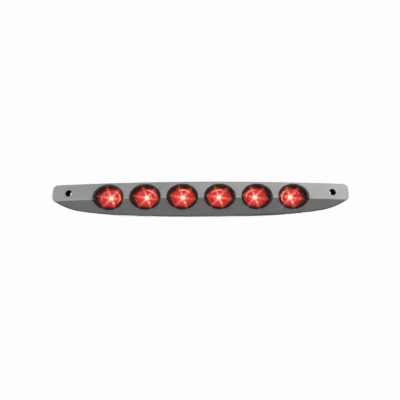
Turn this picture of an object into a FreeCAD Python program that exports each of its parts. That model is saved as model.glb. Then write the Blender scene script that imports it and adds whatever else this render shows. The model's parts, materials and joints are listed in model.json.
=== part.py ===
import FreeCAD, Part
import math
import os

import Sketcher

# Third brake light: a long housing with six oval lamp openings in a row.
# Millimetres. +Z is up, +X runs along the lamp, the front faces -Y.
# The origin lies midway between the two mounting holes, on the mounting face (y = 0).

NODES = "parts"

SIZES = [
    # name, value, meaning
    ("half_length", 154.8, "half of the overall length"),
    ("end_radius", 45, "slight bulge of the ends"),
    ("end_middle", 2, "height where the lamp is longest"),
    ("heel_radius", 4.5, "lower corners"),
    ("top_height", 11.1, "top edge above the mounting holes, at the middle"),
    ("top_radius", 5300, "arch of the top edge"),
    ("corner_radius", 5.0, "upper corners"),
    ("bottom_depth", 24.3, "bottom edge below the mounting holes, at the middle"),
    ("belly_radius", 2000, "bottom edge, middle arc"),
    ("flank_radius", 460, "bottom edge, flank arcs"),
    ("tail_radius", 63, "bottom edge, arcs that rise to the ends"),
    ("flank_start", 80, "where the middle arc becomes the flank arc"),
    ("tail_start", 125, "where the flank arc becomes the rising arc"),
    ("mount_half_spacing", 137.1, "mounting hole to the middle"),
    ("mount_hole_radius", 3.4, "clearance for an M6 screw"),
    ("crease_depth", 29.5, "mounting face to the crease, at the middle"),
    ("crease_height", -5.75, "height of the crease, at the middle"),
    ("bow_radius", 1550, "bow of the crease seen from above"),
    ("arch_radius", 5200, "arch of the crease seen from the front"),
    ("upper_slope", 11, "degrees that the upper facet leans back"),
    ("lower_slope", 30, "degrees that the lower facet leans back"),
    ("crease_round", 2.2, "rounding of the crease"),
    ("rim_round", 0.8, "rounding of the front rim"),
    ("gasket_thickness", 2.0, "foam mounting gasket"),
    ("gasket_inset", 0.8, "gasket edge inside the housing edge"),
    ("gasket_width", 8.0, "width of the gasket frame"),
    ("gasket_land", 118, "where the gasket widens round the mounting holes"),
    ("cover_thickness", 2.0, "rear cover"),
    ("side_wall", 3.0, "housing side walls"),
    ("front_wall", 2.6, "housing front wall"),
    ("cavity_half_length", 116, "half length of the hollow in the housing"),
    ("seal_inset", 1.0, "outer edge of the seal groove inside the housing edge"),
    ("seal_width", 1.1, "seal cord"),
    ("seal_depth", 0.9, "depth of the seal groove in the cover"),
    ("port_pitch", 38.1, "lamp opening to lamp opening"),
    ("port_height", -4.3, "axis of the lamp openings"),
    ("lip_width", 16.05, "bezel lip, half width"),
    ("lip_height", 13.1, "bezel lip, half height"),
    ("lip_proud", 0.6, "bezel lip in front of the housing"),
    ("sleeve_width", 15.25, "bezel sleeve, half width"),
    ("sleeve_height", 12.15, "bezel sleeve, half height"),
    ("sleeve_depth", 7.5, "bezel sleeve behind the crease"),
    ("mouth_width", 15.3, "front of the bezel cone, half width"),
    ("mouth_height", 12.2, "front of the bezel cone, half height"),
    ("step_width", 13.6, "where the bezel cone becomes steep, half width"),
    ("step_height", 11.1, "where the bezel cone becomes steep, half height"),
    ("step_depth", 1.4, "where the bezel cone becomes steep, behind the crease"),
    ("throat_width", 13.3, "back of the bezel cone, half width"),
    ("throat_height", 10.9, "back of the bezel cone, half height"),
    ("ledge_start", 7.6, "lens ledge behind the crease"),
    ("ledge_thickness", 0.8, "lens ledge"),
    ("ledge_width", 13.35, "opening in the lens ledge, half width"),
    ("ledge_height", 10.95, "opening in the lens ledge, half height"),
    ("tube_width", 16.2, "tube round each opening, half width"),
    ("tube_height", 13.1, "tube round each opening, half height"),
    ("tube_depth", 13.0, "tube behind the crease"),
    ("flange_width", 14.3, "lens and reflector flanges, half width"),
    ("flange_height", 11.75, "lens and reflector flanges, half height"),
    ("play", 0.1, "clearance round parts that drop into a bore"),
    ("lens_seal_thickness", 0.5, "lens seal"),
    ("lens_flange", 1.1, "lens flange"),
    ("lens_width", 13.1, "lens dome, half width"),
    ("lens_height", 10.7, "lens dome, half height"),
    ("lens_rise", 3.8, "lens dome, height"),
    ("lens_wall", 1.2, "lens dome, wall"),
    ("reflector_flange", 1.0, "reflector flange"),
    ("bowl_width", 13.0, "reflector rim, half width"),
    ("bowl_height", 10.5, "reflector rim, half height"),
    ("bowl_depth", 5.0, "reflector rim to floor"),
    ("bowl_waist", 0.76, "reflector width half way down, as a share of the rim"),
    ("bowl_floor", 3.4, "reflector floor, to the corners"),
    ("bowl_wall", 0.9, "reflector wall"),
    ("facet_turn", -10, "degrees that the reflector facets are turned"),
    ("led_top", 15.7, "top of the LED base behind the crease"),
    ("led_side", 7.6, "LED base, square"),
    ("led_base", 2.5, "LED base, thickness"),
    ("led_dome_radius", 2.4, "LED dome"),
    ("led_pin_offset", 2.54, "LED pins from the axis"),
    ("pin_radius", 0.3, "LED pins"),
    ("board_face", 8.35, "mounting face to the front of the board"),
    ("board_thickness", 1.6, "circuit board"),
    ("board_length", 222, "circuit board"),
    ("board_top", 3.5, "top edge of the board"),
    ("board_bottom", -14.5, "bottom edge of the board"),
    ("boss_radius", 2.6, "screw bosses"),
    ("screw_radius", 1.2, "shanks of the small screws"),
    ("pilot_radius", 1.25, "screw holes in the bosses"),
    ("head_radius", 2.3, "heads of the small screws"),
    ("wire_radius", 0.8, "insulated wire"),
    ("core_radius", 0.4, "copper core at the board"),
    ("wire_offset", 1.8, "each wire from the cable axis"),
    ("cable_radius", 3.25, "outside of the cable sleeve"),
    ("cable_bore", 2.75, "inside of the cable sleeve"),
    ("cable_back", 14, "straight run behind the mounting face"),
    ("cable_bend", 16, "bend radius of the cable"),
    ("sleeve_end", 70, "where the cable sleeve ends"),
    ("plug_start", 80, "where the plug begins"),
    ("plug_length", 26, "plug"),
    ("plug_depth", 10, "plug, front to back"),
    ("plug_height", 13, "plug, top to bottom"),
    ("plug_wall", 1.3, "walls of the plug mouth"),
    ("plug_mouth", 14.5, "back of the plug to the floor of its mouth"),
    ("latch_start", 6, "back of the plug to the latch"),
    ("latch_length", 17, "latch on the plug"),
    ("latch_width", 5, "latch on the plug"),
    ("latch_height", 1.2, "latch and its catch, each"),
    ("catch_start", 18, "back of the plug to the catch"),
    ("catch_length", 3, "catch on the latch"),
    ("grip_pitch", 1.6, "grip ridge to grip ridge"),
    ("grip_width", 0.8, "grip ridge"),
    ("grip_proud", 0.5, "grip ridge above the plug"),
    ("wire_seal_radius", 1.58, "seal on each wire"),
    ("wire_seal_length", 2.9, "seal on each wire"),
    ("contact_start", 4.5, "back of the plug to the contacts"),
    ("contact_length", 9, "crimped part of a contact"),
    ("contact_side", 2.4, "crimped part of a contact, square"),
    ("contact_play", 0.3, "contact bore larger than the contact"),
    ("blade_start", 13, "back of the plug to the blades"),
    ("blade_length", 9, "contact blade"),
    ("blade_width", 1.5, "contact blade"),
    ("blade_thickness", 0.8, "contact blade"),
    ("lock_start", 9.5, "back of the plug to the terminal lock"),
    ("lock_length", 3, "slot of the terminal lock"),
    ("lock_height", 8.4, "slot of the terminal lock"),
    ("lock_back", 1.4, "cable axis to the floor of the slot"),
    ("rib_bottom", -11, "lower end of the ribs on the cover"),
    ("rib_length", 11.8, "ribs on the cover"),
    ("rib_width", 1.2, "ribs on the cover"),
    ("rib_height", 1.0, "ribs on the cover"),
    ("screw_length", 8, "small screws, under the head"),
    ("flat_head", 1.4, "head of a board screw"),
    ("sunk_head", 1.2, "head of a cover screw"),
    ("socket_radius", 1.0, "hexagon socket of the small screws, to the corners"),
    ("socket_depth", 0.9, "hexagon socket of the small screws"),
    ("chip_offset", 6, "board components from the screw beside them"),
    ("chip_drop", 4, "board components below the lamp axes"),
    ("can_radius", 3.1, "capacitor"),
    ("can_length", 5.6, "capacitor with its foot"),
    ("can_foot", 6.6, "foot of the capacitor, square"),
    ("can_foot_height", 0.6, "foot of the capacitor"),
    ("grommet_hole", 5, "hole for the cable in the cover"),
    ("grommet_inner", 6.2, "grommet lip inside the cover"),
    ("grommet_outer", 6.6, "grommet lip outside the cover"),
    ("grommet_inner_lip", 0.9, "thickness of the inner lip"),
    ("grommet_outer_lip", 1.4, "thickness of the outer lip"),
    ("nose_start", 5.2, "grommet nose at the cover"),
    ("nose_end", 4.1, "grommet nose at its tip"),
    ("nose_length", 7, "grommet nose"),
    ("groove_start", 1.2, "outer lip to the first groove in the nose"),
    ("groove_pitch", 1.6, "groove to groove"),
    ("groove_width", 0.7, "groove in the nose"),
    ("groove_floor", 4.0, "floor of the grooves, radius"),
    ("vent_hole", 2, "hole for the vent plug"),
    ("vent_flange", 3.2, "flange of the vent plug"),
    ("vent_flange_thickness", 0.8, "flange of the vent plug"),
    ("vent_bore", 0.5, "bore of the vent plug"),
]

PORTS = range(1, 7)
SIDES = (-1, 1)
BOARD_SCREWS = (-2, -1, 1, 2)
# cover screws: (distance from the middle in opening pitches, height)
COVER_SCREWS = [(-2, -17.8), (0, -18.4), (2, -17.8), (-1, 6.5), (1, 6.5)]
END_SCREW_X = 122
END_SCREW_Z = -1.0
COVER_RIBS = (0.5, 1, 2, 2.5)  # places of the cover ribs on each side, in opening pitches
RESISTOR = ("6.3", "0.7", "3.2")  # length, depth and height
DIODE = ("4.6", "2.2", "2.7")
PLUG_GRIPS = range(4)
NOSE_GROOVES = range(4)

doc = FreeCAD.newDocument("third_brake_light")
sheet = doc.addObject("Spreadsheet::Sheet", "Sizes")
for row, (name, value, meaning) in enumerate(SIZES, 1):
    sheet.set(f"A{row}", name)
    sheet.set(f"B{row}", str(value))
    sheet.set(f"C{row}", meaning)
    sheet.setAlias(f"B{row}", name)
doc.recompute()

TURN_BACK = FreeCAD.Rotation(FreeCAD.Vector(1, 0, 0), -90)  # +Z becomes +Y
TURN_FRONT = FreeCAD.Rotation(FreeCAD.Vector(1, 0, 0), 90)  # +Z becomes -Y
SIDE_VIEW = FreeCAD.Rotation(
    FreeCAD.Vector(0, 1, 0), FreeCAD.Vector(0, 0, 1), FreeCAD.Vector(1, 0, 0), "XYZ"
)
finished = []


def size(name):
    """The number in the sheet."""
    return float(sheet.get(name))


def bind(thing, **formulas):
    """Bind properties to formulas on the sheet; 'at_x' stands for Placement.Base.x."""
    for key, formula in formulas.items():
        path = "Placement.Base." + key[-1] if key.startswith("at_") else key
        thing.setExpression(path, str(formula))
    return thing


def make(kind, name, turn=None, **formulas):
    thing = doc.addObject(kind, name)
    if turn:
        thing.Placement = FreeCAD.Placement(FreeCAD.Vector(), turn)
    return bind(thing, **formulas)


def cut(name, base, tool):
    result = doc.addObject("Part::Cut", name)
    result.Base, result.Tool = base, tool
    return result


def common(name, base, tool):
    result = doc.addObject("Part::Common", name)
    result.Base, result.Tool = base, tool
    return result


def fuse(name, pieces):
    if len(pieces) == 1:
        return pieces[0]
    result = doc.addObject("Part::MultiFuse", name)
    result.Shapes = pieces
    return result


def group(name, pieces):
    """Separate solids that share one node."""
    result = doc.addObject("Part::Compound", name)
    result.Links = pieces
    return result


def part(label, thing):
    """Mark an object as a finished sub-part, named after its file."""
    thing.Label = label
    finished.append(thing)
    return thing


def extrude_y(name, profile, start, length):
    """Extrude a profile that stands in the front view along +Y."""
    solid = doc.addObject("Part::Extrusion", name)
    solid.Base = profile
    solid.DirMode = "Custom"
    solid.Dir = FreeCAD.Vector(0, 1, 0)
    solid.Solid = True
    return bind(solid, LengthFwd=length, at_y=start)


def rod(name, radius, start, length, across="0", height="0"):
    """Round rod along +Y."""
    return make("Part::Cylinder", name, TURN_BACK, Radius=radius, Height=length,
                at_x=across, at_y=start, at_z=height)


def taper(name, first, second, start, length, across="0", height="0"):
    """Round cone along +Y."""
    return make("Part::Cone", name, TURN_BACK, Radius1=first, Radius2=second, Height=length,
                at_x=across, at_y=start, at_z=height)


def block(name, corner, sides):
    """Box from its lowest corner."""
    return make("Part::Box", name, Length=sides[0], Width=sides[1], Height=sides[2],
                at_x=corner[0], at_y=corner[1], at_z=corner[2])


def oval(name, width, height, start="0"):
    """Ellipse that stands in the front view."""
    return make("Part::Ellipse", name, TURN_BACK, MajorRadius=width, MinorRadius=height,
                at_y=start)


def oval_rod(name, width, height, start, length):
    return extrude_y(name, oval(name + "_curve", width, height), start, length)


def loft(name, sections, ruled=True):
    result = doc.addObject("Part::Loft", name)
    result.Sections = sections
    result.Solid = True
    result.Ruled = ruled
    return result


def port_x(port):
    return f"({port} - 3.5) * Sizes.port_pitch"


def port_bow(port):
    return f"(Sizes.bow_radius - sqrt(Sizes.bow_radius ^ 2 - ({port_x(port)}) ^ 2))"


def port_y(port):
    return f"{port_bow(port)} - Sizes.crease_depth"


def at_port(thing, port):
    """Move a piece drawn behind the crease at x = 0, z = 0 to its opening."""
    return bind(thing, at_x=port_x(port), at_y=port_y(port), at_z="Sizes.port_height")


# ---------------------------------------------------------------- outlines and body shape


def polygon_sketch(name, corners, turn):
    """Closed polygon; each corner is (start x, start y, formula x, formula y)."""
    sketch = doc.addObject("Sketcher::SketchObject", name)
    sketch.Placement = FreeCAD.Placement(FreeCAD.Vector(), turn)
    points = [FreeCAD.Vector(corner[0], corner[1], 0) for corner in corners]
    count = len(points)
    for index, point in enumerate(points):
        sketch.addGeometry(Part.LineSegment(point, points[(index + 1) % count]))
    for index in range(count):
        sketch.addConstraint(
            Sketcher.Constraint("Coincident", index, 2, (index + 1) % count, 1))
    for index, (x, y, formula_x, formula_y) in enumerate(corners):
        for kind, start, formula in (("DistanceX", x, formula_x), ("DistanceY", y, formula_y)):
            number = sketch.addConstraint(Sketcher.Constraint(kind, -1, 1, index, 1, start))
            sketch.setExpression(f"Constraints[{number}]", formula)
    return sketch


def arc(centre, radius, first, last):
    circle = Part.Circle(FreeCAD.Vector(*centre, 0), FreeCAD.Vector(0, 0, 1), radius)
    return Part.ArcOfCircle(circle, first, last)


def corner_centre(first, first_radius, second, second_radius, corner):
    """Centre of a corner arc that lies inside and touches two larger arcs, at its outer end."""
    reach_one, reach_two = first_radius - corner, second_radius - corner
    across, up = second[0] - first[0], second[1] - first[1]
    apart = math.hypot(across, up)
    along = (reach_one ** 2 - reach_two ** 2 + apart ** 2) / (2 * apart)
    aside = math.sqrt(reach_one ** 2 - along ** 2)
    base_x, base_y = first[0] + along * across / apart, first[1] + along * up / apart
    step_x, step_y = -aside * up / apart, aside * across / apart
    return max((base_x + step_x, base_y + step_y), (base_x - step_x, base_y - step_y))


def bearing(start, end):
    return math.atan2(end[1] - start[1], end[0] - start[0])


def flipped(point):
    return (-point[0], point[1])


def outline_sketch():
    """Front view outline: arched top, rounded ends and a three-arc belly on each side."""
    half, end = size("half_length"), size("end_radius")
    top, corner, heel = size("top_radius"), size("corner_radius"), size("heel_radius")
    belly, flank, tail = size("belly_radius"), size("flank_radius"), size("tail_radius")
    down = -math.pi / 2

    top_at = (0, size("top_height") - top)
    end_at = (half - end, size("end_middle"))
    belly_at = (0, belly - size("bottom_depth"))
    flank_lean = math.asin(size("flank_start") / belly)
    flank_at = ((belly - flank) * math.sin(flank_lean),
                belly_at[1] - (belly - flank) * math.cos(flank_lean))
    tail_lean = math.asin((size("tail_start") - flank_at[0]) / flank)
    tail_at = (flank_at[0] + (flank - tail) * math.sin(tail_lean),
               flank_at[1] - (flank - tail) * math.cos(tail_lean))
    corner_at = corner_centre(top_at, top, end_at, end, corner)
    heel_at = corner_centre(tail_at, tail, end_at, end, heel)
    top_turn, end_turn = bearing(top_at, corner_at), bearing(end_at, corner_at)
    heel_turn, tail_turn = bearing(end_at, heel_at), bearing(tail_at, heel_at)

    right_side = [
        (corner_at, corner, end_turn, top_turn),
        (end_at, end, heel_turn, end_turn),
        (heel_at, heel, tail_turn, heel_turn),
        (tail_at, tail, down + tail_lean, tail_turn),
        (flank_at, flank, down + flank_lean, down + tail_lean),
    ]
    sketch = doc.addObject("Sketcher::SketchObject", "outline")
    sketch.Placement = FreeCAD.Placement(FreeCAD.Vector(), TURN_FRONT)
    sketch.addGeometry(arc(top_at, top, top_turn, math.pi - top_turn))
    for middle, radius, first, last in right_side:
        sketch.addGeometry(arc(middle, radius, first, last))
    sketch.addGeometry(arc(belly_at, belly, down - flank_lean, down + flank_lean))
    for middle, radius, first, last in reversed(right_side):
        sketch.addGeometry(arc(flipped(middle), radius, math.pi - last, math.pi - first))

    start, finish, centre = 1, 2, 3
    names = ["top_radius", "corner_radius", "end_radius", "heel_radius", "tail_radius",
             "flank_radius", "belly_radius", "flank_radius", "tail_radius", "heel_radius",
             "end_radius", "corner_radius"]
    count = len(names)
    for curve, name in enumerate(names):
        joint = Sketcher.Constraint("Tangent", curve, start, (curve + 1) % count, finish)
        sketch.addConstraint(joint)
        number = sketch.addConstraint(Sketcher.Constraint("Radius", curve, size(name)))
        sketch.setExpression(f"Constraints[{number}]", f"Sizes.{name}")
    top_arc, right_end, right_tail, right_flank = 0, 2, 4, 5
    belly_arc, left_flank, left_tail, left_end = 6, 7, 8, 10
    for curve in (top_arc, belly_arc):
        sketch.addConstraint(Sketcher.Constraint("PointOnObject", curve, centre, -2))
    end_x = "Sizes.half_length - Sizes.end_radius"
    places = [
        ("DistanceY", top_arc, centre, top_at[1], "Sizes.top_height - Sizes.top_radius"),
        ("DistanceY", belly_arc, centre, belly_at[1],
         "Sizes.belly_radius - Sizes.bottom_depth"),
        ("DistanceX", right_end, centre, end_at[0], end_x),
        ("DistanceX", left_end, centre, -end_at[0], f"-({end_x})"),
        ("DistanceY", right_end, centre, end_at[1], "Sizes.end_middle"),
        ("DistanceY", left_end, centre, end_at[1], "Sizes.end_middle"),
        ("DistanceX", right_flank, start, size("flank_start"), "Sizes.flank_start"),
        ("DistanceX", left_flank, finish, -size("flank_start"), "-Sizes.flank_start"),
        ("DistanceX", right_tail, start, size("tail_start"), "Sizes.tail_start"),
        ("DistanceX", left_tail, finish, -size("tail_start"), "-Sizes.tail_start"),
    ]
    for kind, curve, spot, value, formula in places:
        number = sketch.addConstraint(Sketcher.Constraint(kind, -1, 1, curve, spot, value))
        sketch.setExpression(f"Constraints[{number}]", formula)
    return sketch


def inset(name, profile, distance):
    """The outline moved inwards."""
    ring = doc.addObject("Part::Offset2D", name)
    ring.Source = profile
    return bind(ring, Value=f"-({distance})")


def wedge(name, setback):
    """Everything behind the two front facets, moved back by a setback.

    The profile turns about a leaning axis far behind the lamp, so that the crease bows
    back and arches down towards both ends.
    """
    crease_y = f"({setback}) - Sizes.crease_depth"
    rise, fall, back = 30, 40, 20
    corners = [
        (-29, -4, crease_y, "Sizes.crease_height"),
        (-23, 26, f"{crease_y} + {rise} * tan(Sizes.upper_slope)",
         f"Sizes.crease_height + {rise}"),
        (back, 26, f"{back}", f"Sizes.crease_height + {rise}"),
        (back, -44, f"{back}", f"Sizes.crease_height - {fall}"),
        (-6, -44, f"{crease_y} + {fall} * tan(Sizes.lower_slope)",
         f"Sizes.crease_height - {fall}"),
    ]
    profile = polygon_sketch(name + "_profile", corners, SIDE_VIEW)
    bow, arch = size("bow_radius"), size("arch_radius")
    lean = math.atan(bow / arch)
    swing = doc.addObject("Part::Revolution", name)
    swing.Source = profile
    swing.Axis = FreeCAD.Vector(0, math.sin(lean), math.cos(lean))
    lean_formula = "atan(Sizes.bow_radius / Sizes.arch_radius)"
    radius = "1 / sqrt(1 / Sizes.bow_radius ^ 2 + 1 / Sizes.arch_radius ^ 2)"
    swing.Symmetric = True
    swing.Solid = True
    swing.Angle = 14
    swing.setExpression("Base.y", f"({radius}) * cos({lean_formula}) - Sizes.crease_depth")
    swing.setExpression("Base.z", f"Sizes.crease_height - ({radius}) * sin({lean_formula})")
    return swing


outline = outline_sketch()
facets = wedge("facets", "0")
housing_back = "-(Sizes.gasket_thickness + Sizes.cover_thickness)"


# ---------------------------------------------------------------- housing


def screw_places():
    """Centres of the seven cover screws as formulas (x, z)."""
    places = [(f"{step} * Sizes.port_pitch", str(height)) for step, height in COVER_SCREWS]
    places += [(str(side * END_SCREW_X), str(END_SCREW_Z)) for side in SIDES]
    return places


def rounded(name, base, radius, picked):
    """Round the edges of a base whose bounding box passes the test."""
    doc.recompute()
    result = doc.addObject("Part::Fillet", name)
    result.Base = base
    value = size(radius)
    result.Edges = [(number, value, value)
                    for number, edge in enumerate(base.Shape.Edges, 1) if picked(edge.BoundBox)]
    return result


def on_crease(box):
    return box.XLength > size("half_length") and abs(box.ZMax - size("crease_height")) < 1


def on_rim(box):
    in_front = box.YMax < -(size("gasket_thickness") + size("cover_thickness")) - 1
    return in_front and not on_crease(box)


def housing():
    depth = "Sizes.crease_depth + 5"
    front = f"{housing_back} - ({depth})"
    slab = extrude_y("housing_slab", outline, front, depth)
    creased = rounded("housing_creased", common("housing_raw", slab, facets), "crease_round",
                      on_crease)
    body = rounded("housing_block", creased, "rim_round", on_rim)

    inner = extrude_y("cavity_slab", inset("cavity_outline", outline, "Sizes.side_wall"),
                      front, depth)
    length = block("cavity_length", ("-Sizes.cavity_half_length", front, "-50"),
                   ("2 * Sizes.cavity_half_length", depth, "100"))
    hollow = common("cavity", common("cavity_box", inner, length),
                    wedge("inner_facets", "Sizes.front_wall"))
    inside = []
    holes = []
    for port in PORTS:
        tube = oval_rod(f"tube_{port}", "Sizes.tube_width", "Sizes.tube_height", "-5",
                        "Sizes.tube_depth + 5")
        inside.append(at_port(group(f"tube_at_{port}", [tube]), port))
        ledge_end = "Sizes.ledge_start + Sizes.ledge_thickness"
        stages = [
            oval_rod(f"front_bore_{port}", "Sizes.sleeve_width + Sizes.play / 2",
                     "Sizes.sleeve_height + Sizes.play / 2", "-5", "Sizes.ledge_start + 5"),
            oval_rod(f"ledge_bore_{port}", "Sizes.ledge_width", "Sizes.ledge_height",
                     "Sizes.ledge_start - 1", "Sizes.ledge_thickness + 2"),
            oval_rod(f"back_bore_{port}", "Sizes.flange_width + Sizes.play",
                     "Sizes.flange_height + Sizes.play", ledge_end,
                     "Sizes.tube_depth"),
        ]
        holes.append(at_port(fuse(f"port_{port}", stages), port))
    board_back = "-Sizes.board_face"
    boss_start = "-Sizes.crease_depth"
    for step in BOARD_SCREWS:
        across = f"{step} * Sizes.port_pitch"
        inside.append(rod(f"board_boss_{step}", "Sizes.boss_radius", boss_start,
                          f"{board_back} - ({boss_start})", across, "Sizes.port_height"))
        holes.append(rod(f"board_pilot_{step}", "Sizes.pilot_radius", f"{board_back} - 8",
                         "9", across, "Sizes.port_height"))
    for number, (across, height) in enumerate(screw_places()):
        inside.append(rod(f"cover_boss_{number}", "Sizes.boss_radius", boss_start,
                          f"{housing_back} - ({boss_start})", across, height))
        holes.append(rod(f"cover_pilot_{number}", "Sizes.pilot_radius",
                         f"{housing_back} - 8.5", "10", across, height))
    for side in SIDES:
        holes.append(rod(f"mount_hole_{side}", "Sizes.mount_hole_radius", front, depth,
                         f"{side} * Sizes.mount_half_spacing"))
    void = cut("housing_void", hollow, fuse("housing_inside", inside))
    shell = cut("housing_shell", body, void)
    return part("housing", cut("housing", shell, fuse("housing_holes", holes)))


# ---------------------------------------------------------------- lamp modules


def bezel_ring(port, lip_front):
    """Gloss ring whose lip follows the two facets and whose cone steepens towards the lens."""
    lip_rod = at_port(group(f"lip_at_{port}", [
        oval_rod(f"lip_{port}", "Sizes.lip_width", "Sizes.lip_height", "-5", "20")]), port)
    lip = cut(f"lip_only_{port}", common(f"lip_front_{port}", lip_rod, lip_front), facets)
    sleeve_rod = at_port(group(f"sleeve_at_{port}", [
        oval_rod(f"sleeve_{port}", "Sizes.sleeve_width", "Sizes.sleeve_height", "-5",
                 "Sizes.sleeve_depth + 5")]), port)
    sleeve = common(f"sleeve_front_{port}", sleeve_rod, lip_front)
    mouth = oval(f"mouth_{port}", "Sizes.mouth_width", "Sizes.mouth_height",
                 "-Sizes.lip_proud")
    step = oval(f"step_{port}", "Sizes.step_width", "Sizes.step_height", "Sizes.step_depth")
    throat = oval(f"throat_{port}", "Sizes.throat_width", "Sizes.throat_height",
                  "Sizes.sleeve_depth")
    straight = oval_rod(f"throat_bore_{port}", "Sizes.throat_width", "Sizes.throat_height",
                        "Sizes.sleeve_depth - 1", "12")
    opening = oval_rod(f"mouth_bore_{port}", "Sizes.mouth_width", "Sizes.mouth_height", "-5",
                       "5 - Sizes.lip_proud")
    cone = at_port(fuse(f"cone_at_{port}",
                        [opening, loft(f"cone_{port}", [mouth, step, throat]),
                         straight]), port)
    return part(f"bezel_ring_{port}", cut(f"bezel_ring_{port}",
                fuse(f"bezel_solid_{port}", [lip, sleeve]), cone))


def lens_seal(port):
    start = "Sizes.ledge_start + Sizes.ledge_thickness"
    outer = oval_rod(f"seal_outer_{port}", "Sizes.flange_width", "Sizes.flange_height", start,
                     "Sizes.lens_seal_thickness")
    inner = oval_rod(f"seal_inner_{port}", "Sizes.ledge_width", "Sizes.ledge_height",
                     f"{start} - 1", "Sizes.lens_seal_thickness + 2")
    return part(f"lens_seal_{port}", at_port(cut(f"lens_seal_{port}", outer, inner), port))


lens_face = "Sizes.ledge_start + Sizes.ledge_thickness + Sizes.lens_seal_thickness"
reflector_face = f"{lens_face} + Sizes.lens_flange"


def dome(name, rise, width, height):
    return make("Part::Ellipsoid", name, TURN_FRONT, Radius1=rise, Radius2=width,
                Radius3=height, Angle1="0", Angle2="90", at_y=lens_face)


def lens(port):
    """Hollow dome on a flat flange."""
    flange = oval_rod(f"lens_flange_{port}", "Sizes.flange_width", "Sizes.flange_height",
                      lens_face, "Sizes.lens_flange")
    outer = dome(f"lens_outer_{port}", "Sizes.lens_rise", "Sizes.lens_width",
                 "Sizes.lens_height")
    inner = dome(f"lens_inner_{port}", "Sizes.lens_rise - Sizes.lens_wall",
                 "Sizes.lens_width - Sizes.lens_wall", "Sizes.lens_height - Sizes.lens_wall")
    bore = oval_rod(f"lens_bore_{port}", "Sizes.lens_width - Sizes.lens_wall",
                    "Sizes.lens_height - Sizes.lens_wall", lens_face, "Sizes.lens_flange + 1")
    solid = fuse(f"lens_solid_{port}", [flange, outer])
    hole = fuse(f"lens_hollow_{port}", [inner, bore])
    return part(f"lens_{port}", at_port(cut(f"lens_{port}", solid, hole), port))


def hexagon(name, width, height, start):
    """Stretched hexagon that stands in the front view, turned by the facet turn."""
    corners = []
    for step in range(6):
        angle = f"({60 * step} + Sizes.facet_turn)"
        guess = math.radians(60 * step + size("facet_turn"))
        corners.append((10 * math.cos(guess), 10 * math.sin(guess),
                        f"cos({angle}) * ({width})", f"sin({angle}) * ({height})"))
    sketch = polygon_sketch(name, corners, TURN_FRONT)
    return bind(sketch, at_y=start)


def bowl(name, grow, face, floor):
    """Six curved facets from the rim down to the floor, grown by the wall thickness."""
    waist = f"(({face}) + ({floor})) / 2"
    sections = [
        hexagon(name + "_rim", f"Sizes.bowl_width + {grow}", f"Sizes.bowl_height + {grow}",
                face),
        hexagon(name + "_waist", f"Sizes.bowl_waist * Sizes.bowl_width + {grow}",
                f"Sizes.bowl_waist * Sizes.bowl_height + {grow}", waist),
        hexagon(name + "_floor", f"Sizes.bowl_floor + {grow}", f"Sizes.bowl_floor + {grow}",
                floor),
    ]
    return loft(name, sections, ruled=False)


def reflector(port):
    """Six-sided bowl with a flange; the LED looks through its floor."""
    floor = f"{reflector_face} + Sizes.bowl_depth"
    flange = oval_rod(f"reflector_flange_{port}", "Sizes.flange_width", "Sizes.flange_height",
                      reflector_face, "Sizes.reflector_flange")
    outer = bowl(f"bowl_outer_{port}", "Sizes.bowl_wall", reflector_face,
                 f"{floor} + 0.6")
    inner = bowl(f"bowl_inner_{port}", "0", reflector_face, floor)
    hole = rod(f"reflector_hole_{port}", "Sizes.led_dome_radius + 0.5", f"{floor} - 1", "3")
    solid = fuse(f"reflector_solid_{port}", [flange, outer])
    space = fuse(f"reflector_space_{port}", [inner, hole])
    return part(f"reflector_{port}", at_port(cut(f"reflector_{port}", solid, space), port))


def pin_places():
    return [(f"{a} * Sizes.led_pin_offset", f"{b} * Sizes.led_pin_offset")
            for a in SIDES for b in SIDES]


def led(port):
    """Square base, clear dome and four pins that pass through the board."""
    base = block(f"led_base_{port}", ("-Sizes.led_side / 2", "Sizes.led_top",
                 "-Sizes.led_side / 2"), ("Sizes.led_side", "Sizes.led_base", "Sizes.led_side"))
    ball = make("Part::Sphere", f"led_ball_{port}", TURN_FRONT, Radius="Sizes.led_dome_radius",
                Angle1="0", Angle2="90", at_y="Sizes.led_top")
    pieces = [base, ball]
    pin_end = f"-Sizes.board_face + Sizes.board_thickness + 1.2 - ({port_y(port)})"
    for number, (across, height) in enumerate(pin_places()):
        start = "Sizes.led_top + Sizes.led_base - 0.5"
        pieces.append(rod(f"led_pin_{port}_{number}", "Sizes.pin_radius", start,
                          f"{pin_end} - ({start})", across, height))
    return part(f"led_{port}", at_port(fuse(f"led_{port}", pieces), port))


def led_spacers():
    """Plates under the inner four LEDs, because the front is bowed and the board is flat."""
    plates = []
    for port in (2, 3, 4, 5):
        start = "Sizes.led_top + Sizes.led_base"
        gap = f"-Sizes.board_face - ({port_y(port)}) - ({start})"
        plate = block(f"spacer_block_{port}", ("-Sizes.led_side / 2", start,
                      "-Sizes.led_side / 2"), ("Sizes.led_side", gap, "Sizes.led_side"))
        pins = [rod(f"spacer_hole_{port}_{number}", "Sizes.pin_radius + Sizes.play", start,
                    "5", across, height)
                for number, (across, height) in enumerate(pin_places())]
        drilled = cut(f"spacer_{port}", plate, fuse(f"spacer_holes_{port}", pins))
        plates.append(at_port(drilled, port))
    return part("led_spacers", group("led_spacers", plates))


# ---------------------------------------------------------------- circuit board


def board_pins():
    """Every pin centre on the board as formulas (x, z)."""
    return [(f"{port_x(port)} + {across}", f"Sizes.port_height + {height}")
            for port in PORTS for across, height in pin_places()]


def wire_places():
    return [("0", f"Sizes.port_height + {side} * Sizes.wire_offset") for side in SIDES]


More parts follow.
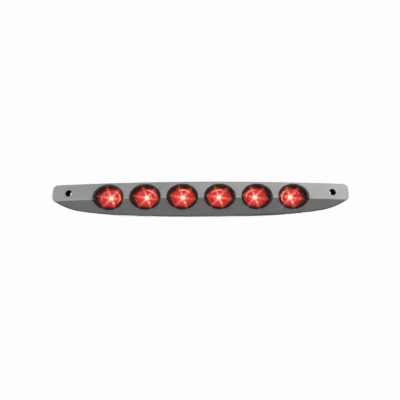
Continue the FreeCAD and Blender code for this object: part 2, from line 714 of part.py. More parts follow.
def circuit_board():
    plate = block("board_plate", ("-Sizes.board_length / 2", "-Sizes.board_face",
                  "Sizes.board_bottom"),
                  ("Sizes.board_length", "Sizes.board_thickness",
                   "Sizes.board_top - Sizes.board_bottom"))
    start = "-Sizes.board_face - 1"
    holes = [rod(f"pin_hole_{number}", "Sizes.pin_radius + Sizes.play", start, "4", *place)
             for number, place in enumerate(board_pins())]
    holes += [rod(f"wire_hole_{number}", "Sizes.core_radius + Sizes.play", start, "4", *place)
              for number, place in enumerate(wire_places())]
    holes += [rod(f"board_screw_hole_{step}", "Sizes.screw_radius + 0.2", start, "4",
                  f"{step} * Sizes.port_pitch", "Sizes.port_height") for step in BOARD_SCREWS]
    return part("circuit_board", cut("circuit_board", plate, fuse("board_holes", holes)))


def solder_joints():
    """A small cone round each pin and wire core, behind the board."""
    back = "-Sizes.board_face + Sizes.board_thickness"
    cones = []
    for kind, radius, places in (("pin", "Sizes.pin_radius", board_pins()),
                                 ("wire", "Sizes.core_radius", wire_places())):
        for number, place in enumerate(places):
            solder = taper(f"{kind}_cone_{number}", f"{radius} + 0.6", f"{radius} + 0.15",
                           back, "0.8", *place)
            hole = rod(f"{kind}_bore_{number}", f"{radius} + 0.02", back, "1", *place)
            cones.append(cut(f"{kind}_solder_{number}", solder, hole))
    return part("solder_joints", group("solder_joints", cones))


def chip(name, across, sides, cap):
    """Block with a metal cap on each end, on the front of the board."""
    length, depth, height = sides
    low = f"Sizes.port_height - Sizes.chip_drop - {height} / 2"
    body = block(name + "_body", (f"{across} - {length} / 2", f"-Sizes.board_face - {depth}", low),
                 sides)
    skin = "0.05"
    ends = [block(f"{name}_end_{side}",
                  (f"{across} + {side} * ({length} / 2) - {cap} / 2",
                   f"-Sizes.board_face - {depth} - {skin}", f"{low} - {skin}"),
                  (cap, f"{depth} + {skin}", f"{height} + 2 * {skin}")) for side in SIDES]
    return fuse(name, [body] + ends)


def components():
    """Surface parts on the front of the board, in the gaps between the LEDs."""
    chips = [chip(f"resistor_{number}", f"{step} * Sizes.port_pitch + Sizes.chip_offset",
                  RESISTOR, "0.6") for number, step in enumerate((-2, -1, 1), 1)]
    part("resistors", group("resistors", chips))
    part("protection_diode", chip("protection_diode",
                                  "2 * Sizes.port_pitch + Sizes.chip_offset", DIODE, "1.0"))
    middle = "Sizes.port_height - Sizes.chip_drop"
    can = rod("can", "Sizes.can_radius", "-Sizes.board_face - Sizes.can_length",
              "Sizes.can_length", "0", middle)
    foot = block("can_foot", ("-Sizes.can_foot / 2", "-Sizes.board_face - Sizes.can_foot_height",
                 f"{middle} - Sizes.can_foot / 2"),
                 ("Sizes.can_foot", "Sizes.can_foot_height", "Sizes.can_foot"))
    part("capacitor", fuse("capacitor", [can, foot]))


def small_screw(name, head, seat, back, across, height):
    """Screw along +Y: shank in front of its seat, head behind it, hexagon socket in its back."""
    shank = rod(name + "_shank", "Sizes.screw_radius", f"{seat} - Sizes.screw_length",
                "Sizes.screw_length + 0.3", across, height)
    socket = make("Part::Prism", name + "_socket", TURN_BACK,
                  Circumradius="Sizes.socket_radius", Height="2", at_x=across,
                  at_y=f"{back} - Sizes.socket_depth", at_z=height)
    socket.Polygon = 6
    return cut(name, fuse(name + "_solid", [shank, head]), socket)


def board_screws():
    seat = "-Sizes.board_face + Sizes.board_thickness"
    screws = []
    for step in BOARD_SCREWS:
        place = (f"{step} * Sizes.port_pitch", "Sizes.port_height")
        head = rod(f"board_head_{step}", "Sizes.head_radius", seat, "Sizes.flat_head", *place)
        screws.append(small_screw(f"board_screw_{step}", head, seat,
                                  f"{seat} + Sizes.flat_head", *place))
    return part("board_screws", group("board_screws", screws))


# ---------------------------------------------------------------- back of the lamp

VENT_X = "1.5 * Sizes.port_pitch"
cover_back = "-Sizes.gasket_thickness"
cable_z = "Sizes.port_height"


def rear_cover():
    slab = extrude_y("cover_slab", outline, housing_back, "Sizes.cover_thickness")
    outer = extrude_y("groove_outer", inset("groove_outer_line", outline, "Sizes.seal_inset"),
                      f"{housing_back} - 1", "Sizes.seal_depth + 1")
    inner = extrude_y("groove_inner", inset("groove_inner_line", outline,
                      "Sizes.seal_inset + Sizes.seal_width + Sizes.play"),
                      f"{housing_back} - 2", "Sizes.seal_depth + 3")
    holes = [cut("groove", outer, inner),
             rod("grommet_hole", "Sizes.grommet_hole", f"{housing_back} - 1", "5", "0", cable_z),
             rod("vent_hole", "Sizes.vent_hole", f"{housing_back} - 1", "5", VENT_X, cable_z)]
    for side in SIDES:
        holes.append(rod(f"cover_mount_{side}", "Sizes.mount_hole_radius",
                         f"{housing_back} - 1", "5", f"{side} * Sizes.mount_half_spacing"))
    for number, place in enumerate(screw_places()):
        holes.append(rod(f"cover_hole_{number}", "Sizes.screw_radius + 0.2",
                         f"{housing_back} - 1", "5", *place))
        holes.append(taper(f"cover_sink_{number}", "Sizes.screw_radius + 0.1",
                           "Sizes.head_radius + 0.1", f"{cover_back} - Sizes.sunk_head",
                           "Sizes.sunk_head", *place))
    plate = cut("cover_plate", slab, fuse("cover_holes", holes))
    ribs = [block(f"cover_rib_{side}_{number}",
                  (f"{side} * {place} * Sizes.port_pitch - Sizes.rib_width / 2", cover_back,
                   "Sizes.rib_bottom"), ("Sizes.rib_width", "Sizes.rib_height",
                                         "Sizes.rib_length"))
            for side in SIDES for number, place in enumerate(COVER_RIBS)]
    return part("rear_cover", fuse("rear_cover", [plate] + ribs))


def cover_seal():
    depth = "Sizes.seal_depth"
    outer = extrude_y("seal_outer", inset("seal_outer_line", outline,
                      "Sizes.seal_inset + Sizes.play / 2"), housing_back, depth)
    inner = extrude_y("seal_inner", inset("seal_inner_line", outline,
                      "Sizes.seal_inset + Sizes.seal_width"), f"{housing_back} - 1",
                      f"{depth} + 2")
    return part("cover_seal", cut("cover_seal", outer, inner))


def cover_screws():
    screws = []
    for number, place in enumerate(screw_places()):
        seat = f"{cover_back} - Sizes.sunk_head"
        head = taper(f"cover_head_{number}", "Sizes.screw_radius", "Sizes.head_radius", seat,
                     "Sizes.sunk_head", *place)
        screws.append(small_screw(f"cover_screw_{number}", head, seat, cover_back, *place))
    return part("cover_screws", group("cover_screws", screws))


def mounting_gasket():
    """Foam frame, wider round the two mounting holes."""
    slab = extrude_y("gasket_slab", inset("gasket_line", outline, "Sizes.gasket_inset"),
                     cover_back, "Sizes.gasket_thickness")
    window = extrude_y("gasket_window", inset("gasket_inner_line", outline,
                       "Sizes.gasket_inset + Sizes.gasket_width"), f"{cover_back} - 1",
                       "Sizes.gasket_thickness + 2")
    middle = block("gasket_middle", ("-Sizes.gasket_land", f"{cover_back} - 1", "-50"),
                   ("2 * Sizes.gasket_land", "Sizes.gasket_thickness + 2", "100"))
    holes = [common("gasket_opening", window, middle)]
    for side in SIDES:
        holes.append(rod(f"gasket_hole_{side}", "Sizes.mount_hole_radius",
                         f"{cover_back} - 1", "5", f"{side} * Sizes.mount_half_spacing"))
    return part("mounting_gasket", cut("mounting_gasket", slab, fuse("gasket_holes", holes)))


def vent_plug():
    flange = rod("vent_flange", "Sizes.vent_flange", cover_back, "Sizes.vent_flange_thickness",
                 VENT_X, cable_z)
    stem = rod("vent_stem", "Sizes.vent_hole - Sizes.play / 2", f"{housing_back} - 0.6",
               "Sizes.cover_thickness + 1", VENT_X, cable_z)
    hole = rod("vent_bore", "Sizes.vent_bore", f"{housing_back} - 2", "8", VENT_X, cable_z)
    return part("vent_plug", cut("vent_plug", fuse("vent_solid", [flange, stem]), hole))


# ---------------------------------------------------------------- cable and plug


def cable_path(name, height, start, end):
    """Line, quarter bend and line, seen from above: back from the board, then along +X."""
    sketch = doc.addObject("Sketcher::SketchObject", name)
    turn_y, turn = size("cable_back"), size("cable_bend")
    first = Part.LineSegment(FreeCAD.Vector(0, -5, 0), FreeCAD.Vector(0, turn_y, 0))
    bend = arc((turn, turn_y), turn, math.pi / 2, math.pi)
    last = Part.LineSegment(FreeCAD.Vector(turn, turn_y + turn, 0),
                            FreeCAD.Vector(60, turn_y + turn, 0))
    for curve in (first, bend, last):
        sketch.addGeometry(curve)
    sketch.addConstraint(Sketcher.Constraint("Tangent", 0, 2, 1, 2))
    sketch.addConstraint(Sketcher.Constraint("Tangent", 1, 1, 2, 1))
    sketch.addConstraint(Sketcher.Constraint("PointOnObject", 0, 1, -2))
    sketch.addConstraint(Sketcher.Constraint("Vertical", 0))
    sketch.addConstraint(Sketcher.Constraint("Horizontal", 2))
    number = sketch.addConstraint(Sketcher.Constraint("Radius", 1, turn))
    sketch.setExpression(f"Constraints[{number}]", "Sizes.cable_bend")
    for kind, curve, end_of, value, formula in (
            ("DistanceY", 0, 1, -5, start), ("DistanceY", 0, 2, turn_y, "Sizes.cable_back"),
            ("DistanceX", 2, 2, 60, end)):
        number = sketch.addConstraint(Sketcher.Constraint(kind, -1, 1, curve, end_of, value))
        sketch.setExpression(f"Constraints[{number}]", formula)
    return bind(sketch, at_z=height)


def swept(name, radius, path, start, height):
    circle = make("Part::Circle", name + "_section", TURN_BACK, Radius=radius, at_y=start,
                  at_z=height)
    doc.recompute()
    sweep = doc.addObject("Part::Sweep", name)
    sweep.Sections = [circle]
    sweep.Spine = (path, ["Edge1", "Edge2", "Edge3"])
    sweep.Solid = True
    sweep.Frenet = False
    return sweep


def cable():
    bare_start = "-Sizes.board_face + 0.4"
    start = "-Sizes.board_face + Sizes.board_thickness + 0.9"
    wire_end = "Sizes.plug_start + 9"
    for label, side in (("ground_wire", -1), ("feed_wire", 1)):
        height = f"{cable_z} + {side} * Sizes.wire_offset"
        path = cable_path(label + "_path", height, start, wire_end)
        sheath = swept(label + "_sheath", "Sizes.wire_radius", path, start, height)
        core = rod(label + "_core", "Sizes.core_radius", bare_start,
                   f"{start} - ({bare_start}) + 0.5", "0", height)
        part(label, fuse(label, [sheath, core]))
    sleeve_start = f"{housing_back} - Sizes.grommet_inner_lip"
    outside = swept("sleeve_outside", "Sizes.cable_radius",
                    cable_path("sleeve_path", cable_z, sleeve_start, "Sizes.sleeve_end"),
                    sleeve_start, cable_z)
    bore_start = f"{sleeve_start} - 1"
    inside = swept("sleeve_inside", "Sizes.cable_bore",
                   cable_path("bore_path", cable_z, bore_start, "Sizes.sleeve_end + 1"),
                   bore_start, cable_z)
    part("cable_sleeve", cut("cable_sleeve", outside, inside))


def cable_grommet():
    """Rubber bush with a lip on each side of the cover and a grooved nose that bends."""
    inner_start = f"{housing_back} - Sizes.grommet_inner_lip"
    inner = rod("grommet_inner", "Sizes.grommet_inner", inner_start, "Sizes.grommet_inner_lip",
                "0", cable_z)
    waist = rod("grommet_waist", "Sizes.grommet_hole - Sizes.play / 2", f"{housing_back} - 0.1",
                "Sizes.cover_thickness + 0.2", "0", cable_z)
    outer = rod("grommet_outer", "Sizes.grommet_outer", cover_back, "Sizes.grommet_outer_lip",
                "0", cable_z)
    nose_start = f"{cover_back} + Sizes.grommet_outer_lip"
    nose = taper("grommet_nose", "Sizes.nose_start", "Sizes.nose_end", nose_start,
                 "Sizes.nose_length", "0", cable_z)
    spaces = [rod("grommet_bore", "Sizes.cable_radius + Sizes.play / 2", "-10", "30", "0",
                  cable_z)]
    for number in NOSE_GROOVES:
        place = f"{nose_start} + Sizes.groove_start + {number} * Sizes.groove_pitch"
        ring = rod(f"groove_ring_{number}", "Sizes.nose_start + 1", place, "Sizes.groove_width",
                   "0", cable_z)
        floor = rod(f"groove_floor_{number}", "Sizes.groove_floor", f"{place} - 1",
                    "Sizes.groove_width + 2", "0", cable_z)
        spaces.append(cut(f"groove_{number}", ring, floor))
    solid = fuse("grommet_solid", [inner, waist, outer, nose])
    return part("cable_grommet", cut("cable_grommet", solid, fuse("grommet_spaces", spaces)))


def rod_x(name, radius, start, length, back, height):
    """Round rod along +X."""
    turn = FreeCAD.Rotation(FreeCAD.Vector(0, 1, 0), 90)
    return make("Part::Cylinder", name, turn, Radius=radius, Height=length, at_x=start,
                at_y=back, at_z=height)


def plug_body(axis_y):
    """Shell of the plug with its latch and grip ridges."""
    start = "Sizes.plug_start"
    side_y, top = f"{axis_y} - Sizes.plug_depth / 2", f"{cable_z} + Sizes.plug_height / 2"
    bottom = f"{cable_z} - Sizes.plug_height / 2"
    shell = block("plug_shell", (start, side_y, bottom),
                  ("Sizes.plug_length", "Sizes.plug_depth", "Sizes.plug_height"))
    latch_y = f"{axis_y} - Sizes.latch_width / 2"
    latch = block("plug_latch", (f"{start} + Sizes.latch_start", latch_y, top),
                  ("Sizes.latch_length", "Sizes.latch_width", "Sizes.latch_height"))
    catch = block("plug_catch", (f"{start} + Sizes.catch_start", latch_y,
                  f"{top} + Sizes.latch_height - Sizes.play"),
                  ("Sizes.catch_length", "Sizes.latch_width", "Sizes.latch_height"))
    grips = [block(f"plug_grip_{number}", (f"{start} + 1 + {number} * Sizes.grip_pitch",
                   f"{side_y} - Sizes.grip_proud", f"{bottom} + 1.5"),
                   ("Sizes.grip_width", "Sizes.plug_depth + 2 * Sizes.grip_proud",
                    "Sizes.plug_height - 3")) for number in PLUG_GRIPS]
    return fuse("plug_body", [shell, latch, catch] + grips)


def plug_spaces(axis_y, heights):
    """Mouth, lock slot, and a seal bore and a contact bore on each wire."""
    start, wall = "Sizes.plug_start", "Sizes.plug_wall"
    mouth = block("plug_mouth", (f"{start} + Sizes.plug_mouth",
                  f"{axis_y} - Sizes.plug_depth / 2 + {wall}",
                  f"{cable_z} - Sizes.plug_height / 2 + {wall}"),
                  ("Sizes.plug_length", f"Sizes.plug_depth - 2 * {wall}",
                   f"Sizes.plug_height - 2 * {wall}"))
    slot = block("lock_slot", (f"{start} + Sizes.lock_start", f"{axis_y} + Sizes.lock_back",
                 f"{cable_z} - Sizes.lock_height / 2"),
                 ("Sizes.lock_length", "Sizes.plug_depth", "Sizes.lock_height"))
    spaces = [mouth, slot]
    for number, height in enumerate(heights):
        spaces.append(rod_x(f"seal_bore_{number}", "Sizes.wire_seal_radius + 0.02",
                            f"{start} - 1", "Sizes.wire_seal_length + 2.1", axis_y, height))
        side = "(Sizes.contact_side + Sizes.contact_play)"
        spaces.append(block(f"contact_bore_{number}", (f"{start} + Sizes.wire_seal_length",
                            f"{axis_y} - {side} / 2", f"{height} - {side} / 2"),
                            ("Sizes.plug_mouth", side, side)))
    return fuse("plug_spaces", spaces)


def contact(number, axis_y, height):
    """Crimped barrel and blade on the end of one wire."""
    start, side = "Sizes.plug_start", "Sizes.contact_side"
    crimp = block(f"crimp_{number}", (f"{start} + Sizes.contact_start", f"{axis_y} - {side} / 2",
                  f"{height} - {side} / 2"), ("Sizes.contact_length", side, side))
    blade = block(f"blade_{number}", (f"{start} + Sizes.blade_start",
                  f"{axis_y} - Sizes.blade_thickness / 2", f"{height} - Sizes.blade_width / 2"),
                  ("Sizes.blade_length", "Sizes.blade_thickness", "Sizes.blade_width"))
    barrel = rod_x(f"barrel_{number}", "Sizes.wire_radius + 0.02", f"{start} + 3", "6.2",
                   axis_y, height)
    return cut(f"contact_{number}", fuse(f"contact_solid_{number}", [crimp, blade]), barrel)


def wire_seal(number, axis_y, height):
    ring = rod_x(f"wire_seal_ring_{number}", "Sizes.wire_seal_radius", "Sizes.plug_start + 0.3",
                 "Sizes.wire_seal_length", axis_y, height)
    hole = rod_x(f"wire_seal_hole_{number}", "Sizes.wire_radius + 0.02", "Sizes.plug_start",
                 "5", axis_y, height)
    return cut(f"wire_seal_{number}", ring, hole)


def plug():
    """Two-way plug on the end of the cable."""
    axis_y = "Sizes.cable_back + Sizes.cable_bend"
    heights = [f"{cable_z} + {side} * Sizes.wire_offset" for side in SIDES]
    part("connector_housing", cut("connector_housing", plug_body(axis_y),
                                  plug_spaces(axis_y, heights)))
    numbered = list(enumerate(heights))
    part("terminals", group("terminals", [contact(n, axis_y, height) for n, height in numbered]))
    part("wire_seals", group("wire_seals", [wire_seal(n, axis_y, height)
                                            for n, height in numbered]))
    gap = "Sizes.play"
    part("terminal_lock", block("terminal_lock", (
        f"Sizes.plug_start + Sizes.lock_start + {gap}", f"{axis_y} + Sizes.lock_back + {gap}",
        f"{cable_z} - Sizes.lock_height / 2 + {gap}"),
        (f"Sizes.lock_length - 2 * {gap}", "Sizes.plug_depth / 2 - 1.1",
         f"Sizes.lock_height - 2 * {gap}")))


# ---------------------------------------------------------------- build and export

housing()
raised_facets = wedge("raised_facets", "-Sizes.lip_proud")
for port in PORTS:
    bezel_ring(port, raised_facets)
    lens_seal(port)
    lens(port)
    reflector(port)
    led(port)
led_spacers()
circuit_board()
solder_joints()
components()
board_screws()
rear_cover()
cover_seal()
cover_screws()
mounting_gasket()
vent_plug()
cable()
cable_grommet()
plug()
doc.recompute()

for thing in doc.Objects:
    for state in thing.State:
        if state in ("Invalid", "Error"):
            raise RuntimeError(f"{thing.Name} is {state}")
for thing in finished:
    if thing.Shape.isNull() or not thing.Shape.isValid():
        raise RuntimeError(f"{thing.Label} has a bad shape")

os.makedirs(NODES, exist_ok=True)
for thing in finished:
    thing.Shape.exportStep(f"{NODES}/{thing.Label}.step")
print(len(finished), "nodes")
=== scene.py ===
import json
import math

import bmesh
import bpy
from mathutils import Matrix, Vector, noise

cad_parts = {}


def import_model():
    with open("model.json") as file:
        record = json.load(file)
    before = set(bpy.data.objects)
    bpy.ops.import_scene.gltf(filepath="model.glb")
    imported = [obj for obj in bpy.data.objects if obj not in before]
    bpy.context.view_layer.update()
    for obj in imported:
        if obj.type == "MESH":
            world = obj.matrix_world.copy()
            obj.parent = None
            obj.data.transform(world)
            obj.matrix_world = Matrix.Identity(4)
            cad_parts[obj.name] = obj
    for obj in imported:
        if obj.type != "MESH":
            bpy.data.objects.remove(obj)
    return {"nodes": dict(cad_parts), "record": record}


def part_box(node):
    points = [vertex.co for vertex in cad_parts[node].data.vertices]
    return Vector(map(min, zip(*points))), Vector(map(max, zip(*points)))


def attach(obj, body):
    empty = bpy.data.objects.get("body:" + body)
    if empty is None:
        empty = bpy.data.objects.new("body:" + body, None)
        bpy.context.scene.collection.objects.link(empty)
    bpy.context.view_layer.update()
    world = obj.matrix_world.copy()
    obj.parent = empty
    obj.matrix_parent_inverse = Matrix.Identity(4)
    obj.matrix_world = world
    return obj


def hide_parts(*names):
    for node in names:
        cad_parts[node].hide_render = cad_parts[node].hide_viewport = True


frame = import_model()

MM = 0.001
NODES = frame["nodes"]
PORTS = range(1, 7)
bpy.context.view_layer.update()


def centre(node):
    low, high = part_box(node)
    return (low + high) / 2


# ---------------------------------------------------------------- node materials


class Graph:
    """A shader made of nodes; a value that is a socket gets linked."""

    def __init__(self, owner):
        """Start afresh in a new material of that name, or in a world."""
        if isinstance(owner, str):
            owner = bpy.data.materials.new(owner)
        owner.use_nodes = True
        self.owner = owner
        self.tree = owner.node_tree
        self.tree.nodes.clear()

    def add(self, kind, values=None, out=0, **settings):
        node = self.tree.nodes.new("ShaderNode" + kind)
        for key, value in settings.items():
            setattr(node, key, value)
        for key, value in (values or {}).items():
            self.feed(node.inputs[key], value)
        return node.outputs[out]

    def feed(self, socket, value):
        if isinstance(value, bpy.types.NodeSocket):
            self.tree.links.new(value, socket)
        else:
            socket.default_value = value

    def math(self, operation, *values):
        return self.add("Math", dict(enumerate(values)), operation=operation)

    def ramp(self, value, low, high, start=0.0, end=1.0, smooth=True):
        return self.add("MapRange", {"Value": value, "From Min": low, "From Max": high,
                                     "To Min": start, "To Max": end},
                        interpolation_type="SMOOTHSTEP" if smooth else "LINEAR")

    def mix(self, factor, first, second):
        return self.add("Mix", {"Factor": factor, 6: first, 7: second}, out=2,
                        data_type="RGBA")

    def over(self, base, mask, amount, colour):
        """Lay a share of a colour over a base where the mask is 1."""
        return self.mix(self.math("MULTIPLY", mask, amount), base, colour)

    def length(self, across, up):
        return self.math("SQRT", self.math("ADD", self.math("MULTIPLY", across, across),
                                           self.math("MULTIPLY", up, up)))

    def place(self):
        return self.add("TexCoord", out="Object")

    def parts(self, vector):
        """The x, y and z of a vector."""
        outputs = self.add("SeparateXYZ", {"Vector": vector}).node.outputs
        return outputs["X"], outputs["Y"], outputs["Z"]

    def noise(self, scale, detail=3.0, roughness=0.5, vector=None):
        values = {"Scale": scale, "Detail": detail, "Roughness": roughness,
                  "Vector": vector or self.place()}
        return self.add("TexNoise", values, out="Fac")

    def bump(self, height, strength, distance):
        return self.add("Bump", {"Height": height, "Strength": strength, "Distance": distance})

    def edge(self, radius):
        """1 on edges, 0 on flat faces."""
        soft = self.add("Bevel", {"Radius": radius}, samples=4)
        true = self.add("NewGeometry", out="Normal")
        dot = self.add("VectorMath", {0: soft, 1: true}, out="Value", operation="DOT_PRODUCT")
        return self.ramp(dot, 0.995, 0.90)

    def glow(self, colour, strength, spill):
        """Emission at full strength to the camera; only a share of it spills on neighbours."""
        seen = self.add("LightPath", out="Is Camera Ray")
        share = self.ramp(seen, 0.0, 1.0, spill, 1.0, smooth=False)
        return self.add("Emission", {"Color": colour,
                                     "Strength": self.math("MULTIPLY", strength, share)})

    def finish(self, shader, output="OutputMaterial"):
        node = self.tree.nodes.new("ShaderNode" + output)
        self.tree.links.new(shader, node.inputs["Surface"])
        return self.owner


def grey(value):
    return (value, value, value, 1.0)


def plastic(name, colour, rough=0.45, grain=1500, depth=0.02, edge_highlight=0.25, sheen=0.5):
    """Moulded plastic or rubber: fine grain, mottled roughness, and a painted highlight that
    makes the edges paler.
    """
    g = Graph(name)
    cloud = g.noise(60, 4)
    fine = g.noise(grain, 2)
    pale = tuple(min(1.0, c * 1.6 + 0.03) for c in colour[:3]) + (1.0,)
    dark = tuple(c * 0.82 for c in colour[:3]) + (1.0,)
    body = g.mix(g.ramp(cloud, 0.35, 0.65), dark, colour)
    # painted highlight: the edges are made paler, standing in for light catching them
    body = g.over(body, g.edge(0.4 * MM), edge_highlight, pale)
    roughness = g.ramp(cloud, 0.3, 0.7, rough - 0.06, rough + 0.06)
    normal = g.bump(fine, depth * 10, 0.05 * MM)
    return g.finish(g.add("BsdfPrincipled", {
        "Base Color": body, "Roughness": roughness, "Normal": normal,
        "Specular IOR Level": sheen}, out="BSDF"))


def metal(name, colour, rough, brushed):
    """Metal with stretched brush marks, dull patches and a painted highlight on the edges."""
    g = Graph(name)
    stretch = g.add("Mapping", {"Vector": g.place(), "Scale": brushed}, out="Vector")
    lines = g.noise(1.0, 3, vector=stretch)
    cloud = g.noise(90, 4)
    dull = tuple(c * 0.7 for c in colour[:3]) + (1.0,)
    bright = tuple(min(1.0, c * 1.25 + 0.05) for c in colour[:3]) + (1.0,)
    body = g.mix(g.ramp(cloud, 0.3, 0.7), dull, colour)
    # painted highlight: the edges are made brighter, standing in for light catching them
    body = g.over(body, g.edge(0.25 * MM), 0.3, bright)
    roughness = g.ramp(lines, 0.3, 0.7, rough - 0.08, rough + 0.1)
    return g.finish(g.add("BsdfPrincipled", {
        "Base Color": body, "Metallic": 1.0, "Roughness": roughness,
        "Normal": g.bump(lines, 0.25, 0.03 * MM)}, out="BSDF"))


# millimetres
CREASE_HEIGHT = -5.75
CREASE_ARCH = 5200.0  # radius of the arch of the crease
CREASE_SHINE = 0.6  # the painted highlight along the crease is palest this far above it
EDGE_SHADE = 5.0  # painted shade: the lower edge darkens over this width
HOLE_DAYLIGHT = 9.4  # painted light: the wall of a screw hole glows with daylight from behind up to this depth
HOLE_RIM = 0.22  # the near-black of a screw hole reaches this far outside it


def hole_mount():
    mounts = frame["record"]["mounts"]
    return next(mount["dims"] for mount in mounts if mount["name"] == "mounting_holes")


def housing_paint():
    """Satin silver paint over a dark casting. The screw holes are near-black, the bare casting
    with painted shade on it, and glow white towards the back as painted daylight.
    """
    g = Graph("housing_paint")
    x, y, z = g.parts(g.place())
    cloud = g.noise(28, 5, 0.6)
    grain = g.noise(2600, 2)
    flake = g.add("TexVoronoi", {"Vector": g.place(), "Scale": 5200.0}, out="Distance")
    body = g.mix(g.ramp(cloud, 0.35, 0.65), (0.272, 0.272, 0.266, 1), (0.308, 0.308, 0.302, 1))
    body = g.over(body, g.ramp(flake, 0.25, 0.05), 0.25, grey(0.55))
    # painted highlight: the edges are made paler, standing in for light catching them
    body = g.over(body, g.edge(0.5 * MM), 0.22, grey(0.62))
    # painted shade: faces turned downwards, taken with a bevelled normal so the lower edge
    # rounds off, are darkened
    soft_normal = g.add("Bevel", {"Radius": EDGE_SHADE * MM}, samples=8)
    facing_up = g.parts(soft_normal)[2]
    body = g.over(body, g.ramp(facing_up, -0.50, -0.95), 0.85, grey(0.045))
    # painted highlight: a pale band along the crease, which follows its arch
    above_crease = g.math("ADD", g.math("SUBTRACT", z, CREASE_HEIGHT * MM),
                          g.math("MULTIPLY", g.math("MULTIPLY", x, x), 0.5 / CREASE_ARCH / MM))
    from_shine = g.math("ABSOLUTE", g.math("SUBTRACT", above_crease, CREASE_SHINE * MM))
    body = g.over(body, g.ramp(from_shine, 1.2 * MM, 0.3 * MM), 0.20, grey(0.62))
    height = g.math("ADD", g.math("MULTIPLY", grain, 0.7), g.math("MULTIPLY", flake, 0.3))
    painted = g.add("BsdfPrincipled", {
        "Base Color": body, "Metallic": 0.35, "Specular IOR Level": 0.45,
        "Roughness": g.ramp(cloud, 0.3, 0.7, 0.40, 0.50),
        "Normal": g.bump(height, 0.35, 0.03 * MM)}, out="BSDF")

    hole = hole_mount()
    from_hole = g.math("SUBTRACT", g.math("ABSOLUTE", x), hole["spacing_x_mm"] / 2 * MM)
    radius = hole["hole_r_mm"]
    in_hole = g.ramp(g.length(from_hole, z), (radius + HOLE_RIM) * MM, (radius + 0.04) * MM)
    # painted shade: the hole wall is near black, darker than the bare casting alone, for the
    # shade deep in the hole
    bare_and_painted_shade_colour = g.mix(g.ramp(g.noise(300, 3), 0.3, 0.7), grey(0.004), grey(0.012))
    wall = g.add("BsdfDiffuse", {"Color": bare_and_painted_shade_colour})
    # painted light: seen from the front, the wall glows white towards the back of the hole,
    # standing in for daylight through it
    toward = g.parts(g.add("NewGeometry", out="Incoming"))[1]
    from_front = g.ramp(toward, -0.5, -0.8)
    deep = g.ramp(y, -HOLE_DAYLIGHT * MM, (1.0 - HOLE_DAYLIGHT) * MM)
    bare = g.add("MixShader", {0: g.math("MULTIPLY", from_front, deep), 1: wall,
                               2: g.add("Emission", {"Color": grey(0.9)})})
    return g.finish(g.add("MixShader", {0: in_hole, 1: painted, 2: bare}))


def bezel_black():
    """Gloss black with fine dust and a slight moulding ripple."""
    g = Graph("bezel_black")
    ripple = g.noise(260, 2)
    dust = g.noise(1900, 4, 0.7)
    body = g.mix(g.ramp(dust, 0.45, 0.8), (0.005, 0.003, 0.003, 1), (0.018, 0.013, 0.012, 1))
    # painted highlight: the edges are made paler, standing in for light catching them
    body = g.over(body, g.edge(0.35 * MM), 0.2, grey(0.12))
    return g.finish(g.add("BsdfPrincipled", {
        "Base Color": body, "Roughness": g.ramp(dust, 0.3, 0.7, 0.18, 0.28),
        "Normal": g.bump(ripple, 0.12, 0.2 * MM), "Specular IOR Level": 0.6}, out="BSDF"))


def red_lens():
    """Polished clear red acrylic; tinted see-through with a mirror-like skin."""
    g = Graph("red_lens")
    flow = g.noise(120, 2)
    normal = g.bump(flow, 0.06, 0.3 * MM)
    tint = g.mix(g.ramp(flow, 0.3, 0.7), (1.0, 0.62, 0.60, 1), (1.0, 0.70, 0.68, 1))
    clear = g.add("BsdfTransparent", {"Color": tint})
    gloss = g.add("BsdfGlossy", {"Color": (1.0, 0.92, 0.9, 1), "Roughness": 0.06,
                                 "Normal": normal})
    facing = g.add("Fresnel", {"IOR": 1.49, "Normal": normal})
    return g.finish(g.add("MixShader", {0: facing, 1: clear, 2: gloss}))


# reflector and LED, millimetres in the front view
FACETS = 6
FACET_TURN = math.radians(-10)
BOWL_WIDTH = 13.0
BOWL_STRETCH = 13.0 / 10.5  # width to height
GLINT = (2.6, -5.2)  # painted reflection: where the LED shows a second time in the lower facets
BOW_RADIUS = 9.6  # painted bow of light in the facets
DOME_HEIGHT = 2.4
PINS_START = 5.0  # from the top of the dome


def port_place(g, port):
    """Position across and up from the lamp axis, in millimetres."""
    middle = centre(f"led_{port}")
    x, _, z = g.parts(g.place())
    return (g.math("MULTIPLY", g.math("SUBTRACT", x, middle.x), 1 / MM),
            g.math("MULTIPLY", g.math("SUBTRACT", z, middle.z), 1 / MM))


def bow_angle(port):
    """The bow of light in the facets turns from one side to the other along the lamp."""
    return math.radians(30 * port - 15)


def hexagon(g, x, tall):
    """Distance from the nearest fold, and how far out towards the rim, where 1 is the rim."""
    spread = g.length(x, tall)
    angle = g.math("SUBTRACT", g.math("ARCTAN2", tall, x), FACET_TURN)
    half_step = math.pi / FACETS
    turned = g.math("WRAP", angle, half_step, -half_step)
    from_fold = g.math("MULTIPLY", g.math("ABSOLUTE", g.math("SINE", turned)), spread)
    facing = g.math("SUBTRACT", half_step, g.math("ABSOLUTE", turned))
    to_rim = g.math("MULTIPLY", g.math("COSINE", facing), spread)
    straight = g.math("DIVIDE", to_rim, BOWL_WIDTH * math.cos(half_step))
    round_rim = g.math("DIVIDE", spread, BOWL_WIDTH)
    return from_fold, g.math("MULTIPLY", 0.5, g.math("ADD", straight, round_rim))


